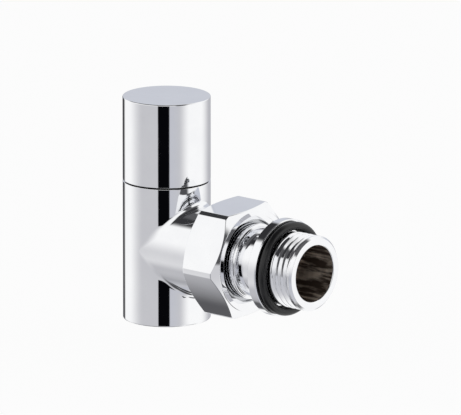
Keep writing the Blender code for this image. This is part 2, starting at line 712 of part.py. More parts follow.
# ---- the whole valve ---------------------------------------------------------------------------------
def joint_empty(name, placement, collection):
    empty = bpy.data.objects.new(name, None)
    empty.empty_display_size = body_radius
    empty.matrix_world = placement
    collection.objects.link(empty)
    return empty


def carry(empty, things):
    for thing in things:
        world = thing.matrix_world.copy()
        thing.parent = empty
        thing.matrix_parent_inverse = empty.matrix_world.inverted()
        thing.matrix_world = world


def build_valve():
    clear_scene()
    parts = new_collection("lockshield_valve")
    cutters = new_collection("cutters")

    chrome = new_material("polished_chrome", (0.82, 0.83, 0.85), 0.06, 1.0)
    brass = new_material("machined_brass", (0.72, 0.55, 0.30), 0.30, 1.0)
    steel = new_material("spring_steel", (0.55, 0.56, 0.58), 0.28, 1.0)
    rubber = new_material("black_rubber", (0.02, 0.02, 0.022), 0.45, 0.0)
    plastic = new_material("grey_plastic", (0.55, 0.56, 0.58), 0.50, 0.0)

    make_body(parts, cutters, chrome)
    make_bonnet(parts, cutters, brass)
    ring_of_wire("bonnet_o_ring", bonnet_radius - BONNET_SEAL_SECTION, BONNET_SEAL_SECTION,
                 bonnet_seal_height, PIPE_AXIS, parts, rubber)
    ring_of_wire("cap_grip_ring", grip_radius - GRIP_SECTION, GRIP_SECTION,
                 grip_height, PIPE_AXIS, parts, rubber)
    open_ring("spindle_stop_ring", SPINDLE_THREAD_RADIUS - STOP_RING_OVERLAP,
              spindle_thread_bore + STOP_RING_SEAT, stop_ring_bottom, stop_ring_top,
              SPINDLE_SHOULDER, PIPE_AXIS, parts, cutters, steel)

    spindle = make_spindle(parts, cutters, brass)
    spindle_rings = []
    for name, height in (("spindle_o_ring_lower", lower_ring_height()),
                         ("spindle_o_ring_upper", upper_ring_height())):
        spindle_rings.append(ring_of_wire(
            name, spindle_radius - SPINDLE_SEAL_SECTION, SPINDLE_SEAL_SECTION,
            height, PIPE_AXIS, parts, rubber))

    carrier = make_seal_carrier(parts, brass)
    swivel = ring_of_wire("swivel_ring", nose_socket + CLEARANCE - SWIVEL_SECTION, SWIVEL_SECTION,
                          swivel_height, PIPE_AXIS, parts, steel)
    seat_seal = turned("seat_seal", washer_outline(screw_hole, seal_radius, seal_bottom, seal_top),
                       PIPE_AXIS, parts, closed=True, steps=SMALL_STEPS)
    finish(seat_seal, rubber)
    washer = turned("seal_washer",
                    washer_outline(screw_hole, washer_radius, washer_top - WASHER_THICKNESS, washer_top),
                    PIPE_AXIS, parts, closed=True, steps=SMALL_STEPS)
    finish(washer, steel)
    screw = make_seal_screw(parts, cutters, steel)

    cap_shell, cap_insert = make_cap(parts, cutters, chrome, plastic)
    nut = make_union_nut(parts, cutters, chrome)

    tail = make_tailpiece(parts, cutters, chrome)
    split_ring = open_ring("tail_split_ring", tail_neck_radius + CLEARANCE, split_ring_radius,
                           split_ring_back, split_ring_front, SPLIT_RING_GAP, BRANCH_AXIS,
                           parts, cutters, steel)
    union_seal = ring_of_wire("union_o_ring", tail_nose_radius - UNION_SEAL_SECTION,
                              UNION_SEAL_SECTION, union_seal_reach, BRANCH_AXIS, parts, rubber)
    radiator_seal = ring_of_wire("radiator_o_ring", radiator_seal_inner, RADIATOR_SEAL_SECTION,
                                 radiator_seal_reach, BRANCH_AXIS, parts, rubber,
                                 steps=ROUND_STEPS, section_steps=SHOWN_SECTION_STEPS)

    lift_axis = joint_empty("plug_lift_axis", PIPE_AXIS, parts)
    carry(lift_axis, [carrier, swivel, seat_seal, washer, screw])
    turn_axis = joint_empty("spindle_turn_axis", PIPE_AXIS, parts)
    carry(turn_axis, [spindle] + spindle_rings)
    cap_axis = joint_empty("cap_lift_axis", PIPE_AXIS, parts)
    carry(cap_axis, [cap_shell, cap_insert])
    nut_axis = joint_empty("nut_turn_axis", BRANCH_AXIS, parts)
    carry(nut_axis, [nut])
    tail_axis = joint_empty("tail_swivel_axis", BRANCH_AXIS, parts)
    carry(tail_axis, [tail, split_ring, union_seal, radiator_seal])


build_valve()
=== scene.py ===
# Looks for the angle lockshield valve: most shown pieces are surfaces worked out on numpy grids; a few CAD
# nodes stay and only get new materials.
import math

import bpy
import numpy as np
from mathutils import Matrix, Vector


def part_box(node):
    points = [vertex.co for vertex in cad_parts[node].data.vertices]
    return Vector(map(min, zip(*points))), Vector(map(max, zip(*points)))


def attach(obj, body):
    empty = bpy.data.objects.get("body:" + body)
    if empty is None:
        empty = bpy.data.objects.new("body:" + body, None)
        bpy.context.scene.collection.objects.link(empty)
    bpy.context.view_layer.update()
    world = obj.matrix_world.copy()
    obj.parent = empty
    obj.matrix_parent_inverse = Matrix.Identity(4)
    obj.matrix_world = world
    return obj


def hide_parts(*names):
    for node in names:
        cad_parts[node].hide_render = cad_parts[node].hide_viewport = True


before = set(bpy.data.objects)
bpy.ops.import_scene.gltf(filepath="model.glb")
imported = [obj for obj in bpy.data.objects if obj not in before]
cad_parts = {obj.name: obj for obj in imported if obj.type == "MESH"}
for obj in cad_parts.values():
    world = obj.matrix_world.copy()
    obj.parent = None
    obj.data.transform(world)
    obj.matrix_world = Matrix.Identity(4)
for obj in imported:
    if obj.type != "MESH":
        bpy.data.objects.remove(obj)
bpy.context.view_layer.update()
print("frame loaded:", len(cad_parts), "nodes")

mm = 0.001
ease = 0.1                                         # rounding that breaks a turned edge
runIn = 0.3                                        # plain stretch between a bevel and its thread


def span(nodeName, axis):
    # lowest and highest place of a CAD node along one axis, in mm
    low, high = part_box(nodeName)
    return low[axis] / mm, high[axis] / mm


branchHeight = sum(span("union_nut", 2)) / 2       # the branch axis runs at this height
bodyRadius = -span("valve_body", 0)[0]
bodyTop = span("valve_body", 2)[1]
spigotFace = span("valve_body", 0)[1]
capBottom, capTop = span("cap_shell", 2)
nutBack, nutFront = span("union_nut", 0)
tailBack, tailFront = span("tailpiece", 0)


# Surfaces on grids

def axes(angle, onBranch):
    # unit vectors outwards, round and along; round the branch, angle 0 points up and 90 degrees to +Y
    c, s, zero, one = np.cos(angle), np.sin(angle), np.zeros_like(angle), np.ones_like(angle)
    if onBranch:
        picks = ([zero, s, c], [zero, c, -s], [one, zero, zero])
    else:
        picks = ([c, s, zero], [-s, c, zero], [zero, zero, one])
    return [np.stack(pick, axis=-1) for pick in picks]


def sweep(radius, angle, along, normal, onBranch=False, wrap=True, finish=0):
    # point = radius outwards + along the axis; the normal's three parts are outwards, round, along
    radius, angle, along, nOut, nRound, nAlong = np.broadcast_arrays(radius, angle, along, *normal)
    out, around, forth = axes(angle.astype(float), onBranch)
    points = radius[..., None] * out + along[..., None] * forth
    if onBranch:
        points = points + np.array([0.0, 0.0, branchHeight])
    normals = nOut[..., None] * out + nRound[..., None] * around + nAlong[..., None] * forth
    return {"points": points, "normals": normals, "wrap": wrap, "finish": finish}


def profileRows(corners, arcSteps=5):
    # Corners are (radius, along, rounding). A step (dr, da) has its outward side at (-da, dr), so outer
    # walls are walked backwards and bores forwards. A rounding is the arc that touches both steps.
    place = np.array([corner[:2] for corner in corners], float)
    step = np.diff(place, axis=0)
    step /= np.linalg.norm(step, axis=1)[:, None]
    side = np.stack([-step[:, 1], step[:, 0]], axis=1)
    rows = [[*place[0], *side[0]]]
    for i in range(1, len(place) - 1):
        rounding = corners[i][2] if len(corners[i]) > 2 else 0.0
        turn = math.acos(max(-1.0, min(1.0, float(step[i - 1] @ step[i]))))
        if rounding == 0.0 or turn < 1e-6:
            rows += [[*place[i], *side[i - 1]], [*place[i], *side[i]]]
            continue
        start = place[i] - step[i - 1] * rounding * math.tan(turn / 2)
        bend = step[i - 1][0] * step[i][1] - step[i - 1][1] * step[i][0]
        sign = 1.0 if bend < 0 else -1.0
        centre = start - sign * rounding * side[i - 1]
        share = np.linspace(0, 1, arcSteps + 1)[:, None]
        arm = (np.sin((1 - share) * turn) * side[i - 1] + np.sin(share * turn) * side[i]) / math.sin(turn)
        rows += np.hstack([centre + sign * rounding * arm, arm]).tolist()
    rows.append([*place[-1], *side[-1]])
    return np.array(rows)


def turned(corners, angles, onBranch=False, finish=0, arcSteps=5):
    # the profile's rows carried round the axis
    rows = profileRows(corners, arcSteps)
    radius, along, nOut, nAlong = (rows[:, i][:, None] for i in range(4))
    return sweep(radius, angles[None, :], along, (nOut, 0.0, nAlong), onBranch, True, finish)


def thread(angles, radius, start, end, pitch, depth, onBranch=False, inside=False, finish=0, perTurn=14,
           crest=0.97, fade=0.5):
    # radius -+ depth * g, where g swings from 0 on the crest to 1 in the root as a softened triangle of
    # (along / pitch + angle / 360), and fades to nothing within `fade` turns of each end
    count = max(8, int(round(abs(end - start) / pitch * perTurn)))
    along = np.linspace(start, end, count + 1)[:, None]
    angle = angles[None, :]
    hand = 1.0 if onBranch else -1.0
    wave = 2 * np.pi * along / pitch + hand * angle
    swing = math.asin(crest)
    g = 0.5 - np.arcsin(crest * np.cos(wave)) / (2 * swing)
    slope = crest * np.sin(wave) / (2 * swing * np.sqrt(1 - (crest * np.cos(wave)) ** 2))
    low, high = min(start, end), max(start, end)
    reach = np.clip(np.minimum(along - low, high - along) / (fade * pitch), 0, 1)
    envelope = reach * reach * (3 - 2 * reach)
    rising = np.where(along - low < high - along, 6.0, -6.0) * (reach < 1) * reach * (1 - reach)
    sign = 1.0 if inside else -1.0
    field = radius + sign * depth * g * envelope
    dAlong = sign * depth * (slope * 2 * np.pi / pitch * envelope + g * rising / (fade * pitch))
    dRound = sign * depth * slope * hand * envelope
    flip = -1.0 if inside else 1.0
    length = np.sqrt(1 + dAlong ** 2 + (dRound / field) ** 2) * flip
    normal = (1 / length, -dRound / field / length, -dAlong / length)
    return sweep(field, angle, along, normal, onBranch, True, finish)


def ringOfWire(centreRadius, section, reach, angles, onBranch, steps):
    # a circle half a section in radius, carried round the axis
    turn = -np.linspace(0, 2 * np.pi, steps + 1)[:, None]
    radius = centreRadius + section / 2 * np.cos(turn)
    along = reach + section / 2 * np.sin(turn)
    return sweep(radius, angles[None, :], along, (np.cos(turn), 0.0, np.sin(turn)), onBranch)


def washerCorners(look):
    # a rounded rectangle, walked from the middle of its upper side
    inner, outer, low, high, rounding = (look[key] for key in ("inner", "outer", "low", "high", "rounding"))
    middle = (inner + outer) / 2
    return [(middle, high), (outer, high, rounding), (outer, low, rounding), (inner, low, rounding),
            (inner, high, rounding), (middle, high)]


def openRing(look, onBranch, columns=120):
    # the rectangle carried round from one side of the gap to the other, with a flat end at each
    middle, centre, gap = (look["inner"] + look["outer"]) / 2, (look["low"] + look["high"]) / 2, look["gap"]
    rows = profileRows(washerCorners(look), 4)
    radius, along, nOut, nAlong = (rows[:, i][:, None] for i in range(4))
    half = np.arcsin(gap / 2 / radius)
    start = np.pi / 2 if onBranch else 0.0
    share = np.linspace(0, 1, columns)[None, :]
    angle = start + half + share * (2 * np.pi - 2 * half)
    patches = [sweep(radius, angle, along, (nOut, 0.0, nAlong), onBranch, False)]
    shrink = np.array([1.0, 0.0])[:, None]
    for column, sign in ((0, -1.0), (-1, 1.0)):
        r = middle + (rows[:, 0] - middle)[None, :] * shrink
        a = centre + (rows[:, 1] - centre)[None, :] * shrink
        middleTurn = start - sign * np.arcsin(gap / 2 / middle)
        t = np.where(shrink == 1.0, angle[:, column][None, :], middleTurn)
        patches.append(sweep(r, t, a, (0.0, sign, 0.0), onBranch, False))
    return patches


def hexColumns(turn, perFlat=20, edge=math.radians(0.45), cut=0.0):
    # angles round a hexagon with corners at `turn`; two columns stand close on either side of each edge, and
    # corners turned away over an angle of `cut` to each side get columns of their own
    flat = np.linspace(cut + edge, math.radians(60) - cut - edge, perFlat)
    if cut:
        flat = np.concatenate([np.linspace(edge - cut, cut - edge, 5), flat])
    return (turn + np.radians(60) * np.arange(6)[:, None] + flat[None, :]).ravel()


def hexOutline(angles, turn, apothem, blank=1e3, pillow=0.0):
    # Distance to the flat = apothem / cos(angle from the flat's middle), at most the blank's radius. The
    # normal leans by that angle, less the part that polishing has rounded off.
    lean = np.mod(angles - turn, math.radians(60)) - math.radians(30)
    flat = apothem / np.cos(lean)
    tilt = np.where(flat > blank, 0.0, lean * (1 - pillow))
    return np.minimum(flat, blank), np.cos(tilt), -np.sin(tilt)


def blendRows(first, second, share):
    mixed = [(1 - share) * a + share * b for a, b in zip(first, second)]
    length = np.sqrt(sum(part ** 2 for part in mixed))
    return [part / length for part in mixed]


def hexBand(angles, turn, apothem, faceRadius, low, high, width=0.2, bevelLow=True, blank=1e3, pillow=0.0):
    # Rows over a hexagon's flats. At a bevelled end the 30 degree cone meets each flat where
    # faceRadius + distance from the face * sqrt(3) equals the distance to the flat. Where the cone is less
    # than fullCone long, its normal leans to the mean of the face's and the flat's.
    flat, nOut, nRound = hexOutline(angles, turn, apothem, blank, pillow)
    zero = np.zeros_like(angles)
    flatNormal = [nOut, nRound, zero]
    fullCone, nearShare = 0.3, 0.35

    def end(face, sign, bevelled):
        if not bevelled:
            return [(flat, zero + face, flatNormal)]
        length = np.maximum(0.0, (flat - faceRadius) / math.sqrt(3))
        inner = np.minimum(flat, faceRadius)
        near = np.minimum(width / 2, nearShare * length)
        faceNormal = [zero, zero, zero + sign]
        cone = [zero + 0.5, zero, zero + sign * math.sqrt(0.75)]
        mixed = blendRows(blendRows(faceNormal, flatNormal, 0.5), cone, np.clip(length / fullCone, 0, 1))
        made = [(inner - width, zero + face, faceNormal)]
        for drop in (near, length - near):
            made.append((inner + drop * math.sqrt(3), face - sign * drop, mixed))
        made.append((flat, face - sign * (length + width), flatNormal))
        return made

    rows = end(high, 1.0, True) + end(low, -1.0, bevelLow)[::-1]
    radius = np.stack([row[0] for row in rows])
    along = np.stack([row[1] for row in rows])
    normal = tuple(np.stack([row[2][i] for row in rows]) for i in range(3))
    return radius, along, normal


def makePiece(name, patches, materials, body, slotName, *replaced):
    # Patches are put together: points closer than a ten-thousandth of a mm become one, quads that shrink
    # to a line are dropped, and each face looks the way its normals say.
    points, normals, quads, finishes, offset = [], [], [], [], 0
    for patch in patches:
        rows, columns = patch["points"].shape[:2]
        index = np.arange(rows * columns).reshape(rows, columns) + offset
        if patch["wrap"]:
            index = np.hstack([index, index[:, :1]])
        quad = np.stack([index[:-1, :-1], index[:-1, 1:], index[1:, 1:], index[1:, :-1]], axis=-1)
        points.append(patch["points"].reshape(-1, 3))
        normals.append(patch["normals"].reshape(-1, 3))
        quads.append(quad.reshape(-1, 4))
        finishes.append(np.full(len(quads[-1]), patch["finish"]))
        offset += rows * columns
    points, normals = np.concatenate(points), np.concatenate(normals)
    quads, finishes = np.concatenate(quads), np.concatenate(finishes)
    corner = points[quads]
    facing = np.cross(corner[:, 2] - corner[:, 0], corner[:, 3] - corner[:, 1])
    wrong = (facing * normals[quads].sum(axis=1)).sum(axis=1) < 0
    quads[wrong] = quads[wrong][:, ::-1]

    first, same = np.unique(np.round(points * 1e4).astype(np.int64), axis=0, return_index=True,
                            return_inverse=True)[1:]
    same = same.ravel()
    vertex = same[quads]
    equal = np.stack([vertex[:, i] == vertex[:, (i + 1) % 4] for i in range(4)], axis=1)
    folded = (vertex[:, 0] == vertex[:, 2]) | (vertex[:, 1] == vertex[:, 3])
    whole = ~equal.any(axis=1) & ~folded
    loopSets, finishSets = [quads[whole]], [finishes[whole]]
    for i in range(4):
        picked = equal[:, i] & (equal.sum(axis=1) == 1) & ~folded
        keep = [k for k in range(4) if k != (i + 1) % 4]
        loopSets.append(quads[picked][:, keep])
        finishSets.append(finishes[picked])
    faces = [face for loops in loopSets for face in same[loops].tolist()]
    mesh = bpy.data.meshes.new(name)
    mesh.from_pydata((points[first] * mm).tolist(), [], faces)
    mesh.polygons.foreach_set("material_index", np.concatenate(finishSets).astype(np.int32))
    for material in materials:
        mesh.materials.append(material)
    mesh.shade_smooth()
    loopNormals = np.concatenate([normals[loops].reshape(-1, 3) for loops in loopSets])
    mesh.normals_split_custom_set(loopNormals.tolist())
    piece = bpy.data.objects.new(name, mesh)
    bpy.context.scene.collection.objects.link(piece)
    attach(piece, body)
    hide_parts(*replaced)
    print("piece", name, len(mesh.polygons), "faces")


# Materials

def feed(tree, socket, value):
    # another node's output is linked to the input; a plain number or colour becomes its value
    if isinstance(value, bpy.types.NodeSocket):
        tree.links.new(value, socket)
    else:
        socket.default_value = value


def addNode(tree, kind, inputs=None, **settings):
    made = tree.nodes.new(kind)
    for key, value in settings.items():
        setattr(made, key, value)
    for key, value in (inputs or {}).items():
        feed(tree, made.inputs[key], value)
    return made


def newGroup(name, inputs, outputs):
    # each group takes a place and some numbers, and puts out values that change over the surface
    group = bpy.data.node_groups.new(name, "ShaderNodeTree")
    group.interface.new_socket("Vector", in_out="INPUT", socket_type="NodeSocketVector")
    for label, value in inputs.items():
        socket = group.interface.new_socket(label, in_out="INPUT", socket_type="NodeSocketFloat")
        socket.default_value = value
    for label in outputs:
        group.interface.new_socket(label, in_out="OUTPUT", socket_type="NodeSocketFloat")
    return group, group.nodes.new("NodeGroupInput").outputs, group.nodes.new("NodeGroupOutput").inputs


def clouds(tree, vector, scale, detail=3.0, rough=0.5):
    return addNode(tree, "ShaderNodeTexNoise", {"Vector": vector, "Scale": scale, "Detail": detail,
                                                "Roughness": rough}).outputs["Fac"]


def mapRange(tree, value, low, high, toLow=0.0, toHigh=1.0, smooth=False):
    return addNode(tree, "ShaderNodeMapRange", {"Value": value, "From Min": low, "From Max": high,
                                                "To Min": toLow, "To Max": toHigh},
                   interpolation_type="SMOOTHSTEP" if smooth else "LINEAR").outputs["Result"]


def mathNode(tree, kind, *values):
    return addNode(tree, "ShaderNodeMath", dict(enumerate(values)), operation=kind).outputs[0]


def mixColor(tree, share, first, second):
    # a Mix node's colour sockets are inputs 6 and 7 and output 2
    return addNode(tree, "ShaderNodeMix", {0: share, 6: first, 7: second}, data_type="RGBA").outputs[2]


def mixShaders(tree, share, first, second):
    return addNode(tree, "ShaderNodeMixShader", {0: share, 1: first, 2: second}).outputs[0]


def makePolish():
    # hand polish: slow waves, fine wipe marks and a few duller patches
    group, given, out = newGroup("handPolish", {"Wave Size": 300.0, "Dull": 0.1, "Bright": 0.03},
                                 ("Roughness", "Tone", "Height"))
    waves = clouds(group, given["Vector"], given["Wave Size"], 2.0)
    smears = clouds(group, given["Vector"], 140.0, 4.0, 0.6)
    marks = clouds(group, given["Vector"], 2600.0, 2.0)
    dulled = mapRange(group, smears, 0.45, 0.75, smooth=True)
    spread = mathNode(group, "SUBTRACT", given["Dull"], given["Bright"])
    feed(group, out["Roughness"], mathNode(group, "MULTIPLY_ADD", dulled, spread, given["Bright"]))
    feed(group, out["Tone"], smears)
    feed(group, out["Height"], mathNode(group, "MULTIPLY_ADD", marks, 0.05, waves))
    return group


def makeTurning():
    # turning lines: the tool's rings along X, broken up by a slow drift in depth
    group, given, out = newGroup("turningLines", {"Lines": 4000.0, "Drift": 0.4}, ("Height", "Tone"))
    reach = addNode(group, "ShaderNodeSeparateXYZ", {"Vector": given["Vector"]}).outputs["X"]
    drift = clouds(group, given["Vector"], 500.0, 2.0)
    phase = mathNode(group, "MULTIPLY", reach, given["Lines"])
    lines = mathNode(group, "SINE", mathNode(group, "MULTIPLY_ADD", drift, given["Drift"], phase))
    fine = clouds(group, given["Vector"], 1800.0)
    feed(group, out["Height"], mathNode(group, "MULTIPLY_ADD", lines, 0.5, fine))
    feed(group, out["Tone"], mapRange(group, lines, -1.0, 1.0))
    return group


def makeGrain():
    # moulded grain: two sizes of soft bumps
    group, given, out = newGroup("mouldGrain", {"Scale": 3000.0}, ("Height", "Tone"))
    fine = clouds(group, given["Vector"], given["Scale"], 3.0, 0.6)
    slow = clouds(group, given["Vector"], 260.0)
    feed(group, out["Height"], mathNode(group, "MULTIPLY_ADD", slow, 0.4, fine))
    feed(group, out["Tone"], slow)
    return group


polish, turning, grain = makePolish(), makeTurning(), makeGrain()


def useGroup(tree, group, inputs):
    return addNode(tree, "ShaderNodeGroup", inputs, node_tree=group).outputs


def startMaterial(name, metallic):
    material = bpy.data.materials.new(name)
    material.use_nodes = True
    tree = material.node_tree
    tree.nodes["Principled BSDF"].inputs["Metallic"].default_value = metallic
    return material, tree, addNode(tree, "ShaderNodeTexCoord").outputs["Object"]


def dress(tree, color, rough, height, distance):
    shader = tree.nodes["Principled BSDF"]
    bump = addNode(tree, "ShaderNodeBump", {"Height": height, "Distance": distance, "Strength": 1.0})
    for key, value in (("Base Color", color), ("Roughness", rough), ("Normal", bump.outputs["Normal"])):
        feed(tree, shader.inputs[key], value)


chromeLook = {"bright": (0.94, 0.945, 0.955, 1), "dark": (0.91, 0.915, 0.93, 1), "waves": 260.0,
              "dull": 0.07, "shine": 0.025, "tones": (0.35, 0.65), "bump": 4.0e-6}
steelLook = {"bright": (0.62, 0.63, 0.65, 1), "dark": (0.48, 0.49, 0.51, 1), "waves": 700.0,
             "dull": 0.34, "shine": 0.20, "tones": (0.35, 0.65), "bump": 1.0e-5}
# brass tones; the last colour and its three heights paint shade into the gap between body and cap
brassLook = {"bright": (0.74, 0.57, 0.32, 1), "dark": (0.60, 0.43, 0.22, 1), "waves": 200.0,
             "dull": 0.38, "shine": 0.24, "lines": 9000.0, "drift": 3.0, "ringShare": 0.35,
             "tones": (0.35, 1.0), "bump": 1.5e-5, "paintedShade": (0.06, 0.048, 0.034, 1),
             "paintedShadeLow": 0.0380, "paintedShadeHigh": 0.0404, "paintedShadeEdge": 0.0003}
boreLook = {"bright": (0.94, 0.82, 0.70, 1), "dark": (0.085, 0.060, 0.047, 1), "metallic": 0.55,
            "stretch": (90.0, 620.0, 620.0), "patchSize": 260.0, "streaks": (0.44, 0.62),
            "patches": (0.35, 0.6, 0.45, 1.0), "rough": (0.55, 0.30), "bump": 8.0e-5}
rubberLook = {"bright": (0.010, 0.010, 0.011, 1), "dark": (0.005, 0.005, 0.006, 1), "grain": 3600.0,
              "tones": (0.35, 0.65), "rough": (0.30, 0.40), "bump": 6.0e-6}
plasticLook = {"bright": (0.60, 0.61, 0.63, 1), "dark": (0.50, 0.51, 0.53, 1), "grain": 2200.0,
               "tones": (0.3, 0.7), "rough": (0.42, 0.55), "bump": 1.2e-5}


def usePolish(tree, vector, look):
    return useGroup(tree, polish, {"Vector": vector, "Wave Size": look["waves"], "Dull": look["dull"],
                                   "Bright": look["shine"]})


def toneColor(tree, tone, look):
    return mixColor(tree, mapRange(tree, tone, *look["tones"]), look["dark"], look["bright"])


def makePolished(name, look):
    material, tree, vector = startMaterial(name, 1.0)
    found = usePolish(tree, vector, look)
    dress(tree, toneColor(tree, found["Tone"], look), found["Roughness"], found["Height"], look["bump"])
    return material


def makeBrass(name, look):
    # the lines run round the pipe axis, and a dark band of painted shade lies where cap and body meet,
    # standing in for the deep gap there
    material, tree, vector = startMaterial(name, 1.0)
    height = addNode(tree, "ShaderNodeSeparateXYZ", {"Vector": vector}).outputs["Z"]
    onEdge = {"Vector": vector, "Rotation": (0, math.pi / 2, 0)}
    vector = addNode(tree, "ShaderNodeMapping", onEdge).outputs[0]
    found = useGroup(tree, turning, {"Vector": vector, "Lines": look["lines"], "Drift": look["drift"]})
    smears = usePolish(tree, vector, look)
    share = mathNode(tree, "MULTIPLY_ADD", found["Tone"], look["ringShare"], smears["Tone"])
    # painted shade: the brass goes dark between heights of 38.0 and 40.4 mm, over the faces in the gap under
    # the cap
    low, high, edge = look["paintedShadeLow"], look["paintedShadeHigh"], look["paintedShadeEdge"]
    paintedShadeMask = mathNode(tree, "MULTIPLY", mapRange(tree, height, low - edge, low),
                       mapRange(tree, height, high + edge, high))
    color = mixColor(tree, paintedShadeMask, toneColor(tree, share, look), look["paintedShade"])
    dress(tree, color, smears["Roughness"], found["Height"], look["bump"])
    return material


def makeBore(name, look):
    # unplated bore: dark oily brass with long pale streaks along the tail
    material, tree, vector = startMaterial(name, look["metallic"])
    stretched = addNode(tree, "ShaderNodeMapping", {"Vector": vector, "Scale": look["stretch"]}).outputs[0]
    streaks = clouds(tree, stretched, 1.0, 4.0, 0.6)
    patches = clouds(tree, vector, look["patchSize"], 2.0)
    share = mathNode(tree, "MULTIPLY", mapRange(tree, streaks, *look["streaks"], smooth=True),
                     mapRange(tree, patches, *look["patches"]))
    dress(tree, mixColor(tree, share, look["dark"], look["bright"]),
          mapRange(tree, streaks, 0.3, 0.7, *look["rough"]), streaks, look["bump"])
    return material


def makeMoulded(name, look):
    material, tree, vector = startMaterial(name, 0.0)
    found = useGroup(tree, grain, {"Vector": vector, "Scale": look["grain"]})
    rough = mapRange(tree, found["Tone"], 0.3, 0.7, *look["rough"])
    dress(tree, toneColor(tree, found["Tone"], look), rough, found["Height"], look["bump"])
    return material


chrome, steel = makePolished("mirrorChrome", chromeLook), makePolished("springSteel", steelLook)
brass, bore = makeBrass("turnedBrassUp", brassLook), makeBore("streakedBore", boreLook)
rubber, plastic = makeMoulded("mouldedRubber", rubberLook), makeMoulded("mouldedPlastic", plasticLook)
print("materials made")


# Valve body

bodyLook = {
    "baseEdge": 0.4, "rimEdge": 0.12, "rimFlat": 1.0,
    "socket": 7.5, "socketDepth": 11.0, "leadIn": 0.8, "leadEdge": 0.08, "mouthFlat": 0.5,
    "socketPitch": 1.337, "socketThread": 0.8, "runOut": 1.6,
    "seatBore": 5.5, "lipRadius": 6.4, "lipHeight": 15.2, "seatFloor": 14.2,
    "chamber": 8.6, "chamberTop": 28.6, "bonnetSocket": 9.4, "branchBore": 6.0,
    "neck": 11.993, "neckFillet": 1.8, "sideFillet": 6.5, "sideStart": 0.8, "neckEnd": 19.0,
    "spigot": 13.0, "spigotChamfer": 0.7, "spigotPitch": 1.814, "spigotThread": 1.0,
    "tailSocket": 9.5, "tailSocketEnd": 22.6,
    "frontSteps": 80, "sideSteps": 30, "outSteps": 12, "filletSteps": 20,
}


